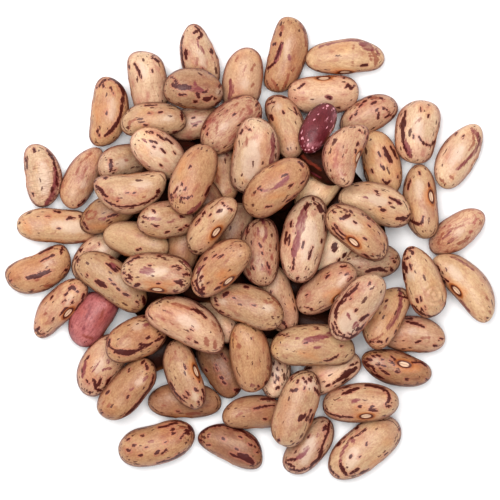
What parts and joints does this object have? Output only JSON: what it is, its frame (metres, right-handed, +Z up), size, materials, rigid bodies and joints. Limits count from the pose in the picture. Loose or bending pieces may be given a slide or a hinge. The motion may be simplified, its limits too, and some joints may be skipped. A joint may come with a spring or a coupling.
{
  "type": "heap of dried beans",
  "caption": "Loose shallow heap of speckled dried beans, roughly round in plan, lying on its flat underside; beans tilt and overlap in a few layers.",
  "frame": {"origin": "centre of the bounding box in plan, on the flat underside that the heap rests on", "axes": "+Z up; +X along the heap's longest extent, to the right of the view from above; +Y to the top of that view"},
  "size_m": [0.0986, 0.094, 0.02],
  "materials": {
    "dried_bean": "dry satin bean skin, cream to tan with maroon flecks"
  },
  "bodies": {
    "root": {"bean_heap": "dried_bean"}
  },
  "joints": []
}
